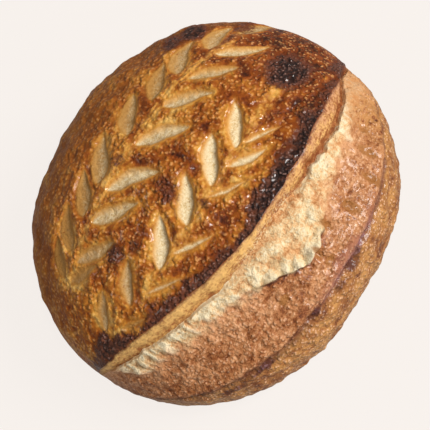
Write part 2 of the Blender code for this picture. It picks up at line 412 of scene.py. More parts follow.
def leaves(x, angle):
    """The scores' depth, the distance in from the nearest leaf's outline, its paleness, and
    the place across it from -1 to 1."""
    depth = np.zeros_like(angle)
    inside = np.full_like(angle, -0.02)
    pale = np.zeros_like(angle)
    place_across = np.zeros_like(angle)
    luck = np.random.default_rng(7)
    for at, slant, length, width, deep, lean, paleness, curve, places in STALK_ROWS:
        slant = math.radians(slant)
        roundness = BROAD_ROUNDNESS if width > BROAD_LEAF else SLIM_ROUNDNESS
        wall_run = WALL_RUN + WALL_RUN_GAIN * (width - WALL_RUN_AT)
        for place in places:
            size = 1 - LEAF_END_SHRINK * (abs(place) / HALF_LENGTH) ** 2
            bend = luck.uniform(-0.2, 0.2)
            taper = luck.uniform(0.1, 0.4)
            tone = luck.uniform(-0.15, 0.15)
            faint = smooth((FAINT_FROM - place) / FAINT_RUN)
            size = size * (1 + tone * 0.5) * (1 - 0.25 * faint)
            tone = tone - 0.65 * faint
            near = np.abs(x[:, 0] - place) < length
            turned = math.radians(at - curve * max((CURVE_FROM - place) / CURVE_RUN, 0) ** CURVE_POWER)
            round_it = (turned - angle[near]) * HALF_WIDTH * np.maximum(girth(x[near]), 0.4)
            reach = x[near] - place
            along = (reach * math.cos(slant) + round_it * math.sin(slant)) / (length * size / 2)
            across = (-reach * math.sin(slant) + round_it * math.cos(slant)) / (width * size / 2)
            across = across + bend * (1 - along * along) * 2
            across = across + 0.07 * np.sin(along * 4.3 + tone * 40) + 0.03 * np.sin(along * 9 + bend * 50)
            open_at = np.maximum(1 - along * along, 0) ** roundness * (1 - taper * along)
            beyond = np.maximum(np.abs(along) - 1, 0) * 2.5
            from_edge = (open_at - beyond - np.abs(across)) * width * size / 2
            share = across / np.maximum(open_at, 0.02)
            side = np.where(share > lean, (share - lean) / (1 - lean), (lean - share) / (1 + lean))
            gentle = (share > lean) == (lean < 0)
            slope = np.where(gentle, 1 - side**1.5, 1 - side**2)
            bowl = np.maximum(slope, 0) * np.maximum(1 - along * along, 0) ** 0.5
            ripple = 1 + 0.10 * np.sin(along * 15 + share * 1.5 + tone * 60) * (1 - side)
            shallow = 1 - 0.45 * faint
            depth[near] = depth[near] - deep * shallow * bowl * ripple * smooth(from_edge / wall_run)
            closer = from_edge > inside[near]
            inside[near] = np.where(closer, from_edge, inside[near])
            pale[near] = np.where(closer, paleness + tone, pale[near])
            place_across[near] = np.where(closer, np.clip(share, -1.2, 1.2), place_across[near])
    return depth, inside, pale, place_across


def scorch(points):
    """How burnt the crust is, from the named places."""
    wobble = lumps(points, 0.006) * 0.0024 + lumps(points, 0.0025, 5.0) * 0.0012
    burnt = np.zeros(points.shape[:-1])
    for x, y, radius, strength in SCORCHES:
        away = np.hypot(points[..., 0] - x, points[..., 1] - y) + wobble
        burnt = np.maximum(burnt, strength * smooth((radius * 1.45 - away) / radius))
    return burnt


def warped(points, size, reach):
    """The points moved a little, so that cells drawn at them aren't round and even."""
    moves = [lumps(points, size, shift) for shift in (11.0, 23.0, 37.0)]
    return points + reach * np.stack(moves, axis=-1)


def blisters(points, size, share, shift=0.0):
    """Domes from 0 to 1: bubbles of steam under the skin, in about this share of the cells."""
    domes = np.zeros(points.shape[:-1]).reshape(-1)
    for number, place in enumerate((points / size + shift).reshape(-1, 3).tolist()):
        gaps, middles = noise.voronoi(place)
        luck = noise.cell(middles[0] * 7.3)
        if luck < share:
            radius = 0.3 + 0.35 * luck / share
            domes[number] = max(1 - (gaps[0] / radius) ** 2, 0) * radius / 0.65
    return domes.reshape(points.shape[:-1])


angle = spread(
    [
        all_round(BASE_END),
        all_round(FAR_WIDEST),
        all_round(CAP_LOW),
        rim_angle(RING_X),
        foot_angle(RING_X),
        foot_angle(RING_X) + tear_open(RING_X) * TUCK / HALF_WIDTH,
    ],
    CAP_GROUPS,
)
ball = ball_point(RING_X, angle)
x_of = ball[..., 0]
below = rim_y(RING_X) - ball[..., 1]
strip = strip_width(RING_X)
relief = held(RING_X, angle)
on_strip = smooth(below / 0.0012)
below = np.where((angle < math.pi / 2) & (below > 0), -0.02, below)
ear = np.where(below < 0, EAR_LIFT * np.exp(np.minimum(below, 0) / EAR_REACH), 0)
down = smooth(below / strip)
ear = ear + np.where(below >= 0, EAR_LIFT * (1 - down) - valley(RING_X) * down, 0)
ear = ear - np.maximum(below - strip, 0) * 1.5
swell = 0.0008 * np.sin(np.pi * np.clip(below / strip, 0, 1))
ear = ear + swell * (1 + 0.7 * lumps(ball, (0.020, 0.004, 0.004), 33.0))
score_depth, leaf_in, leaf_pale, leaf_side = leaves(RING_X, angle)

burnt = scorch(ball)
band = CHAR_WIDTH + CHAR_WIDER * smooth(1.2 - np.abs(x_of - CHAR_WIDER_AT) / CHAR_WIDER_RUN)
band = band + CHAR_TAIL_WIDER * smooth((-0.012 - x_of) / 0.03)
band = band + 0.0050 * lumps(ball, 0.013, 3.0) + 0.0034 * lumps(ball, 0.0045, 9.0)
fade = 0.74 + 0.26 * smooth((x_of + 0.060) / 0.06) - 0.15 * smooth((x_of - 0.055) / 0.02)
rim_char = fade * smooth((band + below) / 0.0105) * (below < 0.0004) * (below > -0.021)
burnt = np.maximum(burnt, rim_char)
dry = smooth((DRY_AND_SHADED_FROM - angle) / DRY_AND_SHADED_RUN)
ends = np.maximum(smooth((-0.066 - x_of) / 0.040), smooth((x_of - 0.086) / 0.030))

glass = np.zeros_like(angle)
for x, y, radius in BLISTERS:
    away = np.hypot(x_of - x, (ball[..., 1] - y) * 1.25) + lumps(ball, 0.006, 12.0) * 0.0028
    glass = np.maximum(glass, 1 - (away / radius) ** 2)

shoulder = smooth((leaf_in + SHOULDER) / SHOULDER)
plain = (1 - smooth(leaf_in / 0.0008 + 1)) * (1 - on_strip)
bent = warped(ball, 0.004, 0.0016)
patchy = smooth(lumps(ball, 0.012, 14.0) * 1.6 + 0.5)
steam = blisters(bent, 0.0050, 0.7) * 0.0010 * patchy + blisters(bent, 0.0028, 0.85, 4.0) * 0.00060
folds = (1 - np.abs(lumps(bent, 0.0085, 8.0)) * 2.6) * 0.0001 * (1 - dry)
soft = lumps(ball, 0.011) * 0.0014 + lumps(ball, 0.0054, 2.0) * 0.0009
soft = soft + lumps(ball, 0.0030, 27.0) * 0.0004
far_lumps = dry * (lumps(ball, 0.017, 45.0) * 0.0022 + lumps(ball, 0.0075, 46.0) * 0.0012)
skin_lines = np.zeros_like(angle)
from_stalk = np.full_like(angle, 0.02)
for number, at in enumerate(STALK_ANGLES):
    line = (at - angle) * HALF_WIDTH + lumps(ball, 0.016, 31.0 + number) * 0.0035
    from_stalk = np.minimum(from_stalk, np.abs(line))
    second = line + 0.0022 + lumps(ball, 0.008, 41.0 + number) * 0.0016
    skin_lines = np.maximum(skin_lines, np.maximum(bell(line, 0.0007), 0.7 * bell(second, 0.0006)))
stalk_ends = smooth((0.105 - x_of) / 0.02) * smooth((x_of + 0.095) / 0.03)
skin_lines = skin_lines * stalk_ends * smooth(lumps(ball, 0.012, 19.0) * 2 + 0.7)
lip = bell(leaf_in + 0.0011, 0.0009) * np.maximum(lumps(ball, 0.007, 6.0) + 0.25, 0) * 0.0011
streaks = lumps(ball, (0.012, 0.0020, 0.0020), 6.0) * 0.0004 + lumps(ball, 0.0032, 16.0) * 0.0003
rough_there = plain * (1 - 0.85 * smooth(glass * 4))
finely_set = smooth((angle - math.radians(20)) / math.radians(15))
height = rough_there * (soft + folds + finely_set * steam * (1 + 1.2 * burnt)) * (1 - 0.2 * dry)
height = height + lip + plain * (glass * BLISTER_HEIGHT + far_lumps)
height = height + skin_lines * plain * 0.0005
height = height - SHOULDER_DROP * shoulder * (1 - on_strip)
out = relief * ear + dents(ball) + relief * score_depth + (0.3 + 0.7 * relief) * height
out = out + relief * on_strip * streaks
cap = shell(
    "cap_crust",
    RING_X,
    angle,
    out,
    {
        "leaf": leaf_in * 1000,
        "pale": leaf_pale,
        "side": leaf_side,
        "stalk": from_stalk * 1000 + (1 - stalk_ends) * 20,
        "burnt": burnt,
        "glass": glass,
        "below_rim": below * 1000,
        "to_foot": (strip - below) * 1000,
        "along": x_of * 1000,
        "dry": dry,
        "ends": ends,
        "high": height * 1000,
    },
)


class Wire:
    """A shader socket. Sums with it add Math nodes, and `add` makes any other node."""

    def __init__(self, tree, socket=None):
        self.tree = tree
        self.socket = socket

    def add(self, kind, sockets, output=0, **settings):
        node = self.tree.nodes.new(kind)
        for name, value in settings.items():
            if name == "stops":
                ramp = node.color_ramp
                while len(ramp.elements) < len(value):
                    ramp.elements.new(0.5)
                for element, (place, colour) in zip(ramp.elements, value):
                    element.position = place
                    element.color = colour
            else:
                setattr(node, name, value)
        for name, value in sockets.items():
            if isinstance(value, Wire):
                self.tree.links.new(value.socket, node.inputs[name])
            else:
                node.inputs[name].default_value = value
        return Wire(self.tree, node.outputs[output])

    def maths(self, operation, *values):
        return self.add("ShaderNodeMath", dict(enumerate(values)), operation=operation)

    def __add__(self, other):
        return self.maths("ADD", self, other)

    def __sub__(self, other):
        return self.maths("SUBTRACT", self, other)

    def __mul__(self, other):
        return self.maths("MULTIPLY", self, other)

    def __truediv__(self, other):
        return self.maths("DIVIDE", self, other)

    def __rsub__(self, other):
        return self.maths("SUBTRACT", other, self)

    __radd__ = __add__
    __rmul__ = __mul__

    def most(self, other):
        return self.maths("MAXIMUM", self, other)

    def least(self, other):
        return self.maths("MINIMUM", self, other)

    def rise(self, low, high):
        """0 at low, 1 at high, with a smooth curve between; low may be above high."""
        sockets = {"Value": self, "From Min": low, "From Max": high}
        return self.add("ShaderNodeMapRange", sockets, interpolation_type="SMOOTHSTEP")

    def ramp(self, *stops):
        return self.add("ShaderNodeValToRGB", {"Fac": self}, stops=stops)

    def mix(self, under, over):
        """`under` where this is 0 and `over` where it is 1."""
        return self.add("ShaderNodeMix", {0: self, 6: under, 7: over}, output=2, data_type="RGBA")

    def marks(self, *names):
        """What the mesh says at each point, by name."""
        return [self.add("ShaderNodeAttribute", {}, output=2, attribute_name=name) for name in names]

    def place(self):
        return self.add("ShaderNodeTexCoord", {}, output=3)

    def stretched(self, share):
        """The place with its X scaled, so that grain drawn at it runs along the loaf."""
        return self.add("ShaderNodeMapping", {"Vector": self, "Scale": (share, 1.0, 1.0)})

    def grain(self, size, detail=2.0, rough=0.5, warp=0.0):
        """Noise from 0 to 1 with lumps of a size in metres."""
        sockets = {"Vector": self, "Scale": 1 / size, "Detail": detail}
        return self.add("ShaderNodeTexNoise", sockets | {"Roughness": rough, "Distortion": warp})

    def moved(self, size, reach):
        """The place pushed about by noise, as `warped` moves points."""
        push = self.add("ShaderNodeTexNoise", {"Vector": self, "Scale": 1 / size, "Detail": 1.0}, output=1)
        sockets = {0: push, 1: (reach, reach, reach), 2: self}
        return self.add("ShaderNodeVectorMath", sockets, operation="MULTIPLY_ADD")

    def bubbles(self, size, round_to=0.6):
        """Domes from 0 to 1, one in each cell of a size."""
        sockets = {"Vector": self, "Scale": 1 / size, "Smoothness": 0.25}
        away = self.add("ShaderNodeTexVoronoi", sockets, feature="SMOOTH_F1") / round_to
        return (1 - away * away).most(0.0)

    def bump(self, height):
        """A normal for relief too fine for the mesh, its height in metres."""
        return self.add("ShaderNodeBump", {"Height": height, "Strength": 1.0, "Distance": 1.0})


def tint(red, green, blue):
    """A colour as it is mixed on a paint card, 0 to 255, for a shader."""
    shares = [value / 255 for value in (red, green, blue)]
    return (*[v / 12.92 if v < 0.04045 else ((v + 0.055) / 1.055) ** 2.4 for v in shares], 1.0)


def finish(name):
    """A new material, its first wire and its shader."""
    made = bpy.data.materials.new(name)
    made.use_nodes = True
    return made, Wire(made.node_tree), made.node_tree.nodes["Principled BSDF"]


def feed(shader, **sockets):
    """Values or wires into a shader's sockets, whose names are written with underscores."""
    for name, value in sockets.items():
        target = shader.inputs[name.replace("_", " ")]
        if isinstance(value, Wire):
            value.tree.links.new(value.socket, target)
        else:
            target.default_value = value


PALE_GOLD = tint(232, 184, 98)
GOLD = tint(204, 140, 52)
AMBER = tint(172, 101, 30)
CHESTNUT = tint(138, 68, 18)
MAHOGANY = tint(96, 41, 14)
DEEP = tint(60, 28, 14)
BEAD_HIGHLIGHT = tint(228, 166, 102)
CHAR_EDGE = tint(104, 60, 42)
CHAR = tint(38, 21, 17)
CHAR_BEAD_HIGHLIGHT = tint(152, 116, 104)
LEAF_CREAM = tint(232, 215, 176)
LEAF_SAND = tint(208, 180, 130)
LEAF_OLIVE = tint(166, 136, 84)
LEAF_TOAST = tint(172, 122, 60)
LEAF_WALL_SHADE = tint(152, 112, 58)
LEAF_LIT_GOLD = tint(210, 160, 90)
PLAIN_BROWN = tint(150, 93, 38)
STRIP_TAN = tint(196, 144, 102)
STRIP_GOLD = tint(226, 180, 108)
STRIP_TOAST = tint(150, 92, 52)
STRIP_NOTCH = tint(116, 58, 26)
STRIP_EDGE_CHAR_AND_SHEEN = tint(112, 70, 58)

material, wire, shader = finish("blistered_crust")
place = wire.place()
leaf, pale, side_mark, stalk = wire.marks("leaf", "pale", "side", "stalk")
burnt_mark, glass_mark = wire.marks("burnt", "glass")
below_rim, to_foot, along = wire.marks("below_rim", "to_foot", "along")
dry_and_shaded_mark, high_mark, ends_mark = wire.marks("dry", "high", "ends")
patch = place.grain(0.015, 2.0, 0.5, 0.5)
mottle = place.grain(0.0044, 3.0, 0.6, 0.4)
lumpy = place.grain(0.0026, 2.0, 0.55, 0.3)
fine = place.grain(0.0013, 2.0, 0.6)

# Browned crust: lighter round the leaves and the stalks, redder and darker in patches
near_leaf = leaf.rise(-5.0, -0.3)
near_stalk = stalk.rise(5.5, 0.8) * (1 - dry_and_shaded_mark)
glow = near_leaf.most(near_stalk)
tone = (patch - 0.5) * 0.9 + (mottle - 0.5) * 0.62 + (lumpy - 0.5) * 0.30 + (fine - 0.5) * 0.12 + 0.494
# Darker in the low places of the relief: painted shade. A little darker on the far side as well, partly
# painted shade
tone = tone + glow * 0.17 + high_mark * 0.05 - dry_and_shaded_mark * 0.02 - along.rise(45.0, 90.0) * 0.16
# Lighter towards the -X end: painted light where that end turns away from the lamps
tone = tone + along.rise(-60.0, -95.0) * 0.10
tone = tone - glass_mark.rise(0.0, 0.35) * 0.24 + glass_mark.rise(0.6, 1.0) * 0.14
crust = tone.ramp(
    (0.16, DEEP), (0.28, MAHOGANY), (0.42, CHESTNUT), (0.56, AMBER), (0.72, GOLD), (0.90, PALE_GOLD)
)
# The far side: plainer and browner, partly the drier crust's own colour and partly painted shade where it
# turns from the light
crust = (dry_and_shaded_mark * (0.35 + lumpy * 0.5)).mix(crust, PLAIN_BROWN)
crust = (near_stalk * (lumpy * 0.5 + mottle * 0.5).rise(0.38, 0.58) * 0.30).mix(crust, PALE_GOLD)

# Beads of steam on it, with a painted highlight on each top and painted shade between them
bent = place.moved(0.004, 0.0018)
beads = bent.bubbles(0.0024, 0.6)
beaded = (mottle * 0.5 + patch * 0.5).rise(0.34, 0.50) * (1 - glow * 0.5) * (1 - dry_and_shaded_mark * 0.5)
crust = (beads.rise(0.35, 0.0) * beaded * 0.45).mix(crust, CHESTNUT)
crust = (beads.rise(0.50, 0.95) * beaded * (0.30 + lumpy * 0.6)).mix(crust, BEAD_HIGHLIGHT)

# The scored leaves: pale sandy crumb, golden round the edge, with painted light in gold on the open side and
# painted shade on the steep wall
edge_noise = place.grain(0.0018, 2.0)
leaf_face = (leaf + (edge_noise - 0.5) * 1.8).rise(-0.9, 1.4)
sandy = place.grain(0.0011, 3.0, 0.7)
score_tone = sandy * 1.1 + mottle * 0.6 - 0.43 + pale * 0.15
score = score_tone.ramp((0.22, LEAF_OLIVE), (0.42, LEAF_SAND), (0.66, LEAF_CREAM))
# painted light on the open side of each score, in gold
lit_golden_side = (side_mark + (mottle - 0.5) * 0.9 - pale * 0.40).rise(-0.25, 0.45)
score = (lit_golden_side * (1.0 - pale * 0.35)).least(1.0).mix(score, LEAF_LIT_GOLD)
# painted shade on each score's steep wall
shaded_wall_side = (side_mark * -1.0 + (edge_noise - 0.5) * 0.4).rise(0.30, 0.90)
score = (shaded_wall_side * 0.85).mix(score, LEAF_WALL_SHADE)
rim_gold = (leaf + (mottle - 0.5) * 2.4).rise(2.3, 0.2)
score = (rim_gold * 0.8).mix(score, GOLD)
toasted = (1 - pale) * 0.72 + dry_and_shaded_mark * 0.30 + along.rise(-30.0, -70.0) * 0.25 + (lumpy - 0.5) * 1.2
score = toasted.least(0.85).most(0.0).mix(score, LEAF_TOAST)
pits = place.moved(0.004, 0.003).grain(0.0022, 1.0, 0.4).rise(0.71, 0.77)
score = (pits * 0.6).mix(score, CHESTNUT)
colour = leaf_face.mix(crust, score)

# The strip under the rim: streaked tan, frayed and floury along its foot
streak = place.stretched(0.15).grain(0.0016, 3.0, 0.6)
strip_grain = 0.5 + along.rise(-15.0, 25.0) * 0.5
strip_tone = (streak * 0.6 + lumpy * 0.50 + fine * 0.45 + sandy * 0.4 - 0.97) * strip_grain + 0.50
pinker = (along * 0.006 - below_rim * 0.10 + 0.1 + (mottle - 0.5) * 2.2).rise(-0.5, 0.6)
strip_light = pinker.mix(STRIP_GOLD, STRIP_TAN)
# darker towards the foot: painted shade where the strip turns down into the crease
strip_tone = strip_tone - to_foot.rise(4.5, 0.5) * 0.14 - along.rise(10.0, 50.0) * 0.05
strip_tone = strip_tone + (patch - 0.5) * 0.35 + (mottle - 0.5) * 0.35
strip_colour = strip_tone.rise(0.26, 0.58).mix(STRIP_TOAST, strip_light)
filled = along.rise(-42.0, -14.0) * along.rise(30.0, 12.0)
flecks = sandy.rise(0.46, 0.62) * to_foot.rise(4.5, 0.0) * filled
strip_colour = (flecks * 0.8).mix(strip_colour, LEAF_CREAM)
notch = (to_foot + (edge_noise - 0.5) * 4.0 + (mottle - 0.5) * 6.0).rise(4.2, 1.0)
notched = along.rise(18.0, 34.0) * 0.9 + along.rise(-20.0, -45.0) * 0.12
notch = notch * (lumpy * 0.6 + mottle * 0.4).rise(0.42, 0.54) * notched
strip_colour = notch.mix(strip_colour, STRIP_NOTCH)
# a dark purplish line under the rim: the char of its rounded edge, with its greyish sheen painted in
edge_char_and_sheen = (below_rim + (fine - 0.5) * 2 + (lumpy - 0.5) * 2).rise(2.6, 0.2) * 0.75
strip_colour = edge_char_and_sheen.mix(strip_colour, STRIP_EDGE_CHAR_AND_SHEEN)
strip_face = (below_rim + (edge_noise - 0.5) * 0.9).rise(-0.1, 1.1)
colour = strip_face.mix(colour, strip_colour)

# Char: from mahogany through brown to black, with painted mauve highlights on its beads
char_face = burnt_mark + (mottle - 0.5) * 0.6 + (lumpy - 0.5) * 0.7 + (fine - 0.5) * 0.4
char_face = char_face * burnt_mark.rise(0.0, 0.15)
colour = (char_face.rise(0.05, 0.60) * 0.95).mix(colour, MAHOGANY)
colour = char_face.rise(0.30, 0.80).mix(colour, CHAR_EDGE)
colour = char_face.rise(0.64, 1.10).mix(colour, CHAR)
char_bead_highlights = beads.rise(0.65, 1.0) * char_face.rise(0.3, 0.8) * fine.rise(0.40, 0.55) * 0.8
colour = char_bead_highlights.mix(colour, CHAR_BEAD_HIGHLIGHT)

# Gloss where the crust is moist and brown, none on the crumb, and the finest relief
gloss = patch.rise(0.4, 0.65).most(glow)
rough = 0.46 - gloss * 0.06 + leaf_face * 0.3 + strip_face * 0.06 + dry_and_shaded_mark * 0.30 + (mottle - 0.5) * 0.2
domes = bent.bubbles(0.0042, 0.65) * 0.0009 * patch.rise(0.40, 0.52)
bead_height = beaded * 0.00060 + char_face.rise(0.2, 0.7) * 0.0006
micro = domes + beads * bead_height + mottle * 0.0008 + lumpy * 0.0005
micro = micro * (1 - dry_and_shaded_mark * 0.3)
calm = 1 - leaf_face * 0.9 - strip_face * 0.8
micro = micro * calm * (1 - glass_mark.rise(0.0, 0.3) * 0.75) * (1 - glow * 0.35)
micro = micro + (sandy * 0.00040 + mottle * 0.0008) * leaf_face
coat = (1 - leaf_face) * (1 - strip_face * 0.8) * (0.50 + gloss * 0.40 + char_face * 0.3)
feed(
    shader,
    Base_Color=colour,
    Roughness=(rough - glass_mark.rise(0.0, 0.3) * 0.2).most(0.15),
    Normal=wire.bump(micro),
    Coat_Weight=coat * (1 - dry_and_shaded_mark * 0.5 - ends_mark * 0.3).most(0.0),
    Coat_Roughness=0.11,
    Coat_IOR=1.42,
    Specular_IOR_Level=0.12,
)
cap.data.materials.append(material)
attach(cap, "root")
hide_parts("loaf")

# ------------------------------------------------------------
# The torn side: the dough that opened under the strip. First the pale crumb, rough and drawn
# into strands, which hangs over in a ledge in the middle; then the belly, a thin reddish-tan
# crust with a dark shiny fold where it sagged; and the golden side down to the base.

SIDE_GROUPS = (6, 70, 80, 36, 40, 12)  # columns: tuck, crumb, belly, fold, side, turn of the base
SIDE_SKIN = 0.010
SIDE_LOW = math.radians(195)
SKIN_FADES_AT = math.radians(205)  # where the side's bumps end
SKIN_FADE_RUN = 0.3
UNDER_FOOT = 0.0025
FOLD_CLEAR = 0.1  # the least angle between the crumb's edge and the fold
FOLD_GROUP = 1.6  # how far the fold's own columns reach, in fold widths
EDGE_GROUP = 0.002  # how far the crumb's columns reach past its edge
LEDGE_FROM = -0.040
LEDGE_TO = 0.026
SOFT_RUN = 0.011  # how far the crumb and the belly run together where there is no ledge
LEDGE_OVERHANG = 0.0016
STRAND = 0.0017  # spacing of the strands drawn across the tear

# Dents in the belly: x, y, radius along X, radius across, depth
BELLY_DENTS = (
    (0.068, -0.073, 0.0022, 0.0052, 0.0013),
    (0.055, -0.084, 0.0024, 0.0060, 0.0013),
    (0.035, -0.083, 0.0030, 0.0045, 0.0013),
    (0.018, -0.078, 0.0022, 0.0040, 0.0014),
    (0.002, -0.081, 0.0020, 0.0040, 0.0014),
    (0.003, -0.0885, 0.0034, 0.0014, 0.0012),
    (-0.030, -0.080, 0.0035, 0.0022, 0.0010),
    (0.080, -0.066, 0.0026, 0.0040, 0.0007),
)

# Dark places along the fold: x, height over the fold, radius, strength
FOLD_BLOTS = (
    (-0.025, 0.000, 0.0048, 0.80),
    (-0.066, -0.005, 0.0058, 0.75),
    (-0.086, -0.013, 0.0060, 0.55),
    (0.011, -0.003, 0.0066, 0.60),
    (-0.004, -0.006, 0.0050, 0.45),
)

foot, edge = foot_angle(RING_X), edge_angle(RING_X)
open_there = tear_open(RING_X)
fold = np.maximum(FOLD_ANGLE, edge + FOLD_CLEAR)
fold_run = FOLD_WIDTH * FOLD_GROUP / HALF_WIDTH
edge_band = open_there * EDGE_GROUP / HALF_WIDTH
angle = spread(
    [
        foot - open_there * UNDER_FOOT / HALF_WIDTH,
        foot,
        edge + edge_band,
        fold - fold_run,
        fold + fold_run,
        all_round(SIDE_LOW),
        all_round(BASE_START),
    ],
    SIDE_GROUPS,
)
ball = ball_point(RING_X, angle)
relief = held(RING_X, angle)
x_of = ball[..., 0]
middle = smooth((x_of - LEDGE_FROM) / 0.014) * smooth((LEDGE_TO - x_of) / 0.012)
along_only = np.concatenate([RING_X, RING_X * 0, RING_X * 0], axis=1)
scallops = (np.abs(lumps(along_only, 0.0105, 1.0)) - 0.2) * 0.0100 + lumps(along_only, 0.017, 8.0) * 0.0020
ragged = scallops[:, None] * middle + (1 - middle) * lumps(ball, 0.008, 15.0) * 0.003
from_foot = (angle - foot) * HALF_WIDTH
past_edge = (angle - edge) * HALF_WIDTH - ragged
to_fold = (FOLD_ANGLE - angle) * HALF_WIDTH
wavy_fold = to_fold + lumps(ball, 0.018, 4.0) * 0.0014
run = SOFT_RUN * (1 - middle) + (0.0020 + 0.0016 * lumps(ball, 0.012, 25.0)) * middle
beyond = smooth(past_edge / run + 0.5 + 0.28 * (1 - middle))

strands = lumps(ball, (STRAND, 0.014, 0.014), 3.0) * smooth((-0.040 - x_of) / 0.03)
strands = strands + 0.5 * lumps(ball, (0.0024, 0.009, 0.009), 13.0) * smooth((x_of - 0.030) / 0.02)
filled = bell(x_of - VALLEY_FILLED_AT[0], VALLEY_FILLED_AT[1])
rise_up = smooth(from_foot / (0.0022 + 0.0090 * filled))
lobe_height = 0.0034 + 0.0050 * middle * bell(past_edge + 0.003, 0.005)
lobes = (np.abs(lumps(ball, 0.0092, 5.0)) - 0.2) * lobe_height
ribs = lumps(ball, (0.0040, 0.012, 0.012), 23.0) * smooth(-x_of / 0.02) * smooth((from_foot - 0.004) / 0.006)
rough_bread = lobes + ribs * 0.0026 + lumps(ball, 0.0026, 7.0) * 0.0006
rough_bread = rough_bread + lumps(ball, 0.0013, 9.0) * 0.0003 + strands * 0.0015
crumb_height = -valley(RING_X) + (valley(RING_X) + CRUMB_RISE) * rise_up
crumb_height = crumb_height + smooth(from_foot / 0.0018) * rough_bread
crumb_height = crumb_height + LEDGE_OVERHANG * middle * bell(past_edge + 0.0024, 0.0026)

above = smooth(to_fold / 0.004)
belly_height = -LEDGE_DROP * smooth(to_fold / EAR_REACH)
belly_height = belly_height + BELLY_SWELL * smooth(to_fold / LEDGE_RUN) * bell(to_fold - SWELL_AT, SWELL_AT)
crease = FOLD_DEPTH * bell(wavy_fold, FOLD_WIDTH) * (0.7 + 0.8 * lumps(ball, 0.020, 44.0))
belly_height = belly_height - crease
belly_height = belly_height + above * lumps(ball, (0.026, 0.0048, 0.0048), 2.0) * 0.0009
skin_bumps = lumps(ball, 0.0095, 1.0) * 0.0014 + lumps(ball, 0.0046, 3.0) * 0.0010
skin_bumps = skin_bumps + lumps(ball, 0.0025, 6.0) * 0.0005
skin_bumps = skin_bumps + blisters(ball, 0.0034, 0.8, 2.0) * 0.00035 * above
side_bumps = lumps(ball, 0.0085, 29.0) * 0.0018 + blisters(ball, 0.0052, 0.7, 3.0) * 0.0008
skin_bumps = skin_bumps + (1 - above) * side_bumps
dimple = np.zeros_like(angle)
for x, y, wide, tall, deep in BELLY_DENTS:
    away = ((x_of - x) / wide) ** 2 + ((ball[..., 1] - y) / tall) ** 2
    dimple = np.maximum(dimple, np.exp(-away) * deep)
belly_height = belly_height - dimple

blot = np.zeros_like(angle)
for x, over, radius, strength in FOLD_BLOTS:
    away = np.hypot((x_of - x) * 0.75, (wavy_fold - over) * 1.2) + lumps(ball, 0.006, 21.0) * 0.004
    blot = np.maximum(blot, strength * smooth((radius * 1.4 - away) / radius))

height = crumb_height * (1 - beyond) + belly_height * beyond
tail_off = smooth((SKIN_FADES_AT - angle) / SKIN_FADE_RUN)
fringe = strands * 0.0007 * beyond * smooth((0.012 - past_edge) / 0.008)
height = height + fringe * smooth((past_edge + 0.01) / 0.01)
out = relief * (height - dimple * (1 - beyond)) + dents(ball) + beyond * skin_bumps * tail_off
out = out - (1 - rise_up) * 0.0012 * smooth(-from_foot / 0.001) - (1 - open_there) * 0.0006 * (from_foot < 0)
fray = lumps(ball, 0.0042, 17.0) * 0.5 + lumps(ball, 0.0095, 37.0) * 0.3
browned = 0.0035 * (1 - middle) + 0.013 * smooth((x_of - 0.066) / 0.030)
white = 1 - smooth((past_edge + browned) / (run * 1.2 + 0.002) + 0.5 + fray)
side = shell(
    "torn_side",
    RING_X,
    angle,
    out,
    {
        "white": white * open_there,
        "from_foot": from_foot * 1000,
        "past_edge": past_edge * 1000,
        "to_fold": wavy_fold * 1000,
        "strand": strands + 0.8 * ribs,
        "lobe": lobes * 1000,
        "dimple": dimple * 1000,
        "blot": blot,
        "middle": middle,
        "along": x_of * 1000,
    },
    skin=SIDE_SKIN,
)

CRUMB_WHITE = tint(236, 220, 184)
CRUMB_CREAM = tint(228, 198, 150)
CRUMB_TAN = tint(216, 165, 114)
CRUMB_RUST = tint(192, 132, 80)
CRUMB_SHADE_GREY = tint(186, 168, 128)
BELLY_PALE = tint(204, 150, 106)
BELLY_TAN = tint(174, 115, 71)
BELLY_RED = tint(134, 76, 38)
BELLY_DARK = tint(88, 46, 28)
BELLY_ROSE = tint(160, 102, 80)
BELLY_BEAD_HIGHLIGHT = tint(228, 180, 142)
DIMPLE_OLIVE = tint(158, 104, 52)
SIDE_GOLD = tint(190, 136, 76)
SIDE_AMBER = tint(152, 96, 50)
SIDE_BROWN = tint(104, 58, 34)
FOLD_DARK = tint(92, 52, 46)
FOLD_LILAC_SHEEN = tint(150, 112, 122)
material, wire, shader = finish("torn_bread_and_belly")
place = wire.place()
white_mark, foot_mark, edge_mark = wire.marks("white", "from_foot", "past_edge")
fold_mark, strand_mark, lobe_mark = wire.marks("to_fold", "strand", "lobe")
dimple_mark, blot_mark, middle_mark, along = wire.marks("dimple", "blot", "middle", "along")
filled_mark = along.rise(-42.0, -14.0) * along.rise(36.0, 14.0)
patch = place.grain(0.014, 3.0, 0.55, 0.3)
cloud = place.grain(0.0090, 3.0, 0.6, 0.3)
mottle = place.grain(0.0036, 3.0, 0.65)
speck = place.grain(0.0017, 3.0, 0.65)
fine = place.grain(0.0009, 2.0, 0.6)

# The crumb: cream and browner at its edges; lighter on raised strands and lobes and darker and greyish
# between and under them, partly the strands' own whiteness and partly painted shade
at_ledge = (edge_mark + (mottle - 0.5) * 6).rise(-11.0, -4.0) * middle_mark
bread_tone = cloud * 0.80 + speck * (0.75 - at_ledge * 0.3) + fine * 0.35 - 0.42
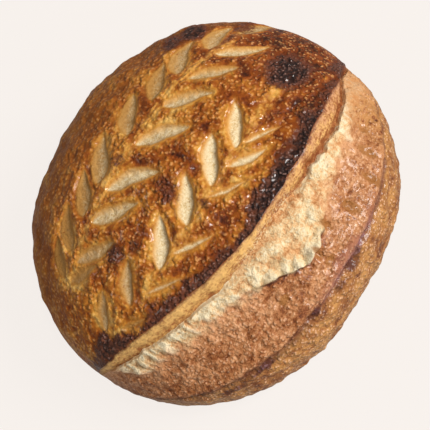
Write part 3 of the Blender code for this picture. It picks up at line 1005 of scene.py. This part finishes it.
# lighter where strands and lobes stand high, darker between them: partly their own colour, partly painted
# shade
bread_tone = bread_tone + strand_mark * 0.22 + lobe_mark * 0.08
bread_tone = bread_tone + at_ledge * 0.26 - filled_mark * 0.05
bread_tone = bread_tone + strand_mark * (along.rise(-20.0, -42.0) * 0.22 + along.rise(25.0, 42.0) * 0.30)
bread_tone = bread_tone + foot_mark.rise(8.0, 1.0) * along.rise(24.0, 40.0) * 0.12
bread_tone = bread_tone + along.rise(-30.0, -50.0) * 0.05
bread_tone = bread_tone - foot_mark.rise(8.0, 0.5) * filled_mark * 0.14 - (1 - white_mark) * 0.12
bread_tone = bread_tone - edge_mark.rise(-15.0, -3.0) * along.rise(0.0, 14.0) * along.rise(42.0, 26.0) * 0.10
bread = bread_tone.ramp((0.22, CRUMB_RUST), (0.36, CRUMB_TAN), (0.52, CRUMB_CREAM), (0.68, CRUMB_WHITE))
# painted greyish shade between the strands and on the low lobes at the ledge
grey = (strand_mark * -1.0).rise(0.10, 0.55) * 0.55
grey = grey.most(middle_mark * edge_mark.rise(-7.0, -2.0) * lobe_mark.rise(0.0, -0.8) * 0.9)
bread = (grey * mottle.rise(0.35, 0.55)).mix(bread, CRUMB_SHADE_GREY)
seam = (foot_mark + (mottle - 0.5) * 5).rise(1.8, 0.2) * along.rise(14.0, 32.0)
bread = (seam * 0.85).mix(bread, CRUMB_RUST)

# The belly over the fold, and the golden side under it
ripple = place.stretched(0.22).grain(0.0030, 3.0, 0.6)
tone = patch * 0.42 + mottle * 0.42 + speck * 0.52 + ripple * 0.40 - 0.375
# darker just past the ledge in the middle, under its overhang: painted shade
tone = tone - (edge_mark + (mottle - 0.5) * 3).rise(3.4, 0.0) * middle_mark * 0.22
tone = tone + edge_mark.rise(16.0, 1.0) * (1 - middle_mark) * 0.12 + along.rise(45.0, 95.0) * 0.02
tone = tone - along.rise(60.0, 95.0) * 0.07
upper = tone.ramp((0.28, BELLY_DARK), (0.40, BELLY_RED), (0.52, BELLY_TAN), (0.68, BELLY_PALE))
rose = along.rise(-40.0, 5.0) * along.rise(60.0, 25.0)
rose = rose * (fold_mark + (patch - 0.5) * 30).rise(17.0, 6.0) * 0.7
upper = rose.mix(upper, BELLY_ROSE)
upper = (along.rise(66.0, 92.0) * mottle.rise(0.35, 0.55) * 0.7).mix(upper, SIDE_GOLD)
bread = (along.rise(66.0, 96.0) * (0.45 + mottle * 0.6)).least(1.0).mix(bread, CRUMB_RUST)
bent = place.moved(0.004, 0.0018)
beads = bent.bubbles(0.0022, 0.6)
beaded = (mottle * 0.5 + patch * 0.5).rise(0.38, 0.52)
# painted pinkish highlights on the tops of the belly's beads
upper = (beads.rise(0.55, 0.95) * beaded * 0.55).mix(upper, BELLY_BEAD_HIGHLIGHT)
band = place.stretched(0.25).grain(0.006, 3.0, 0.6)
side_tone = band * 0.4 + patch * 0.5 + mottle * 0.45 - 0.055
lower = side_tone.ramp((0.46, SIDE_BROWN), (0.56, SIDE_AMBER), (0.70, SIDE_GOLD))
# and painted highlights on the side's beads
lower = (beads.rise(0.55, 0.95) * (0.3 + beaded * 0.4)).mix(lower, BELLY_BEAD_HIGHLIGHT)
colour = (fold_mark + (mottle - 0.5) * 2.4).rise(0.8, -2.5).mix(upper, lower)
colour = white_mark.mix(colour, bread)
colour = (dimple_mark.rise(0.1, 0.7) * 0.85).mix(colour, DIMPLE_OLIVE)

# The fold: a dark shiny line with smears and blots, a painted lilac sheen along it and painted glints on the
# blots
frayed_fold = fold_mark + (mottle - 0.5) * 5.0
in_fold = frayed_fold.rise(7.5, 1.0) * frayed_fold.rise(-3.6, -0.6)
broken = (ripple * 0.6 + patch * 0.6).rise(0.50, 0.68) * along.rise(10.0, -20.0)
in_fold = in_fold * (1 - broken * 0.85)
fold_shade = in_fold * (0.1 + patch * 0.9) * (1 - along.rise(-20.0, -60.0) * 0.4)
colour = fold_shade.least(0.9).mix(colour, FOLD_DARK)
# painted lilac sheen along the fold
sheen = in_fold * along.rise(-38.0, -10.0) * along.rise(48.0, 25.0) * ripple.rise(0.38, 0.55)
colour = (sheen * mottle.rise(0.35, 0.55) * 0.6).mix(colour, FOLD_LILAC_SHEEN)
drift = fold_mark + (patch - 0.5) * 26
smear = (drift + (mottle - 0.5) * 6).rise(8.0, 1.0) * drift.rise(-9.0, -2.0)
colour = (smear * along.rise(-15.0, -50.0) * 0.6 * (1 - white_mark)).mix(colour, BELLY_DARK)
dark = (blot_mark + (mottle - 0.5) * 1.3 + (speck - 0.5) * 0.5) * blot_mark.rise(0.0, 0.25)
colour = (dark.rise(0.1, 0.7) * 0.9).mix(colour, BELLY_DARK)
colour = dark.rise(0.5, 0.95).mix(colour, FOLD_DARK)
# painted lilac glints on the beads in the blots
colour = (beads.rise(0.6, 1.0) * dark.rise(0.2, 0.7) * 0.5).mix(colour, FOLD_LILAC_SHEEN)

# The finest relief, of skin and of crumb
domes = bent.bubbles(0.0040, 0.65) * 0.0006 * patch.rise(0.42, 0.54)
skin_bump = domes + beads * beaded * 0.00045 + mottle * 0.0011 + speck * 0.0005 + ripple * 0.0008
bread_bump = speck * 0.0012 + fine * 0.0003 + mottle * 0.0014
feed(
    shader,
    Base_Color=colour,
    Roughness=0.50 + (mottle - 0.5) * 0.3 + white_mark * 0.25 - dark * 0.1,
    Normal=wire.bump(skin_bump * (1 - white_mark) + bread_bump * white_mark),
    Coat_Weight=(1 - white_mark) * (0.14 + fold_mark.rise(3.0, -2.0) * 0.3 + mottle.rise(0.42, 0.57) * 0.30),
    Coat_Roughness=0.16,
    Specular_IOR_Level=0.15,
)
side.data.materials.append(material)
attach(side, "root")
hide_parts("loaf")

# ------------------------------------------------------------
# The base: flat where the loaf stood on the hearth, baked firm and even, with flour from the
# peel in its fine grain. Its edge turns up and takes the colours of the crust above.

BASE_COLUMNS = 60
angle = spread([all_round(BASE_START), all_round(BASE_END + math.tau)], (BASE_COLUMNS,))
ball = ball_point(RING_X, angle)
base = shell(
    "baked_base",
    RING_X,
    angle,
    dents(ball),
    {"above_hearth": flattened(ball[..., 2]) * 1000, "across": ball[..., 1] * 1000},
)
BASE_BROWN = tint(168, 116, 70)
BASE_FLOUR = tint(222, 196, 160)
BASE_DARK = tint(120, 74, 42)
TURN_DARK = tint(128, 78, 32)
TURN_GOLD = tint(182, 126, 62)
material, wire, shader = finish("baked_base")
place = wire.place()
cloud = place.grain(0.03, 4.0, 0.55)
mottle = place.grain(0.005, 4.0, 0.6)
fine = place.grain(0.0012, 2.0, 0.6)
above_hearth, across = wire.marks("above_hearth", "across")
colour = (cloud * 0.7 + mottle * 0.4 - 0.05).ramp((0.35, BASE_DARK), (0.5, BASE_BROWN), (0.75, BASE_FLOUR))
turned_up = (cloud * 0.5 + mottle * 0.6 - across.rise(-25.0, 25.0) * 0.10).ramp(
    (0.38, TURN_DARK), (0.50, PLAIN_BROWN), (0.68, TURN_GOLD)
)
beads = place.moved(0.004, 0.0018).bubbles(0.0024, 0.6)
# painted highlights on the tops of the beads along the turned-up edge
turned_up = (beads.rise(0.50, 0.95) * (0.15 + mottle * 0.5)).mix(turned_up, BEAD_HIGHLIGHT)
on_side = (above_hearth + (cloud - 0.5) * 6 + (mottle - 0.5) * 3).rise(0.5, 5.0)
colour = on_side.mix(colour, turned_up)
feed(
    shader,
    Base_Color=colour,
    Roughness=0.65,
    Normal=wire.bump(fine * 0.0003 + mottle * 0.0008 + beads * 0.0003 * on_side),
)
base.data.materials.append(material)
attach(base, "root")
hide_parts("loaf")

# The three pieces together stand where the solid does, middle over middle, on the same floor.
low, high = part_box("loaf")
pieces = (cap, side, base)
points = np.concatenate([np.array([point.co for point in piece.data.vertices]) for piece in pieces])
centre = (points.min(axis=0) + points.max(axis=0)) / 2
along_x, along_y = ((low[axis] + high[axis]) / 2 - centre[axis] for axis in (0, 1))
for piece in pieces:
    piece.data.transform(Matrix.Translation((along_x, along_y, low[2])))

# ------------------------------------------------------------
# The table: a plain pale floor that glows evenly, so that the loaf's shadow stays faint. The
# crust's gloss doesn't mirror it, because that would grey the browns.

FLOOR_PALE = (0.93, 0.88, 0.84, 1.0)
FLOOR_TINT = (0.05, 0.047, 0.045, 1.0)
FLOOR_GLOW = 0.945
FLOOR_REACH = 20
floor_mesh = bpy.data.meshes.new("floor")
corners = [(x * FLOOR_REACH, y * FLOOR_REACH, 0) for x, y in ((-1, -1), (1, -1), (1, 1), (-1, 1))]
floor_mesh.from_pydata(corners, [], [(0, 1, 2, 3)])
floor = placed("floor", floor_mesh)
floor.location.z = low[2]
material, wire, shader = finish("pale_floor")
feed(shader, Base_Color=FLOOR_TINT, Roughness=0.9, Specular_IOR_Level=0.1)
feed(shader, Emission_Color=FLOOR_PALE, Emission_Strength=FLOOR_GLOW)
floor.data.materials.append(material)
floor.visible_glossy = False

# ------------------------------------------------------------
# The camera stands over the belly's side, high up and turned a little. The key light, a large
# soft box, is to its right, with a smaller window under it and a weak fill on the left. A small
# lamp beside the camera gives the glossy crust its glints.

CAMERA_TURN = math.radians(20)
CAMERA_TILT = math.radians(70)
CAMERA_ROLL = math.radians(38.71)
CAMERA_AWAY = 0.560
CAMERA_AIM = Vector((-0.00302, -0.00506, 0.03289))
LENS_MM = 75.5
SENSOR_MM = 36
CLIP_START = 0.01
LAMPS_AWAY = 3.0

# Lamps: name, how far to the right, up the picture and towards the camera, size, power, colour
LAMPS = (
    ("key", 0.8, 0.45, 1.0, 1.5, 94.0, (1.0, 0.97, 0.94)),
    ("window", 0.75, -0.25, 0.8, 0.5, 8.0, (1.0, 0.96, 0.95)),
    ("fill", -1.0, 0.3, 0.6, 0.6, 3.5, (1.0, 0.95, 0.90)),
    ("glint", 0.12, 0.35, 1.0, 0.28, 18.0, (1.0, 0.97, 0.96)),
)
ROOM_COLOUR = (1.0, 0.97, 0.94, 1.0)
ROOM_LIGHT = 0.18

towards = Vector((
    -math.sin(CAMERA_TURN) * math.cos(CAMERA_TILT),
    -math.cos(CAMERA_TURN) * math.cos(CAMERA_TILT),
    math.sin(CAMERA_TILT),
))
level = Vector((math.cos(CAMERA_TURN), -math.sin(CAMERA_TURN), 0))
upright = towards.cross(level)
to_right = level * math.cos(CAMERA_ROLL) - upright * math.sin(CAMERA_ROLL)
to_top = level * math.sin(CAMERA_ROLL) + upright * math.cos(CAMERA_ROLL)
camera_data = bpy.data.cameras.new("camera")
camera_data.lens = LENS_MM
camera_data.sensor_width = SENSOR_MM
camera_data.clip_start = CLIP_START
camera = placed("camera", camera_data)
axes = Matrix((to_right, to_top, towards)).transposed()
camera.matrix_world = Matrix.Translation(CAMERA_AIM + towards * CAMERA_AWAY) @ axes.to_4x4()
bpy.context.scene.camera = camera

for name, right, top, near, size, power, colour in LAMPS:
    direction = to_right * right + to_top * top + towards * near
    lamp_data = bpy.data.lights.new(name, "AREA")
    lamp_data.shape = "DISK"
    lamp_data.size = size
    lamp_data.energy = power
    lamp_data.color = colour
    lamp = placed(name, lamp_data)
    lamp.location = CAMERA_AIM + direction.normalized() * LAMPS_AWAY
    lamp.rotation_euler = direction.to_track_quat("Z", "Y").to_euler()

world = bpy.data.worlds.new("studio")
world.use_nodes = True
background = world.node_tree.nodes["Background"]
background.inputs["Color"].default_value = ROOM_COLOUR
background.inputs["Strength"].default_value = ROOM_LIGHT
bpy.context.scene.world = world
bpy.context.scene.view_settings.view_transform = "Standard"
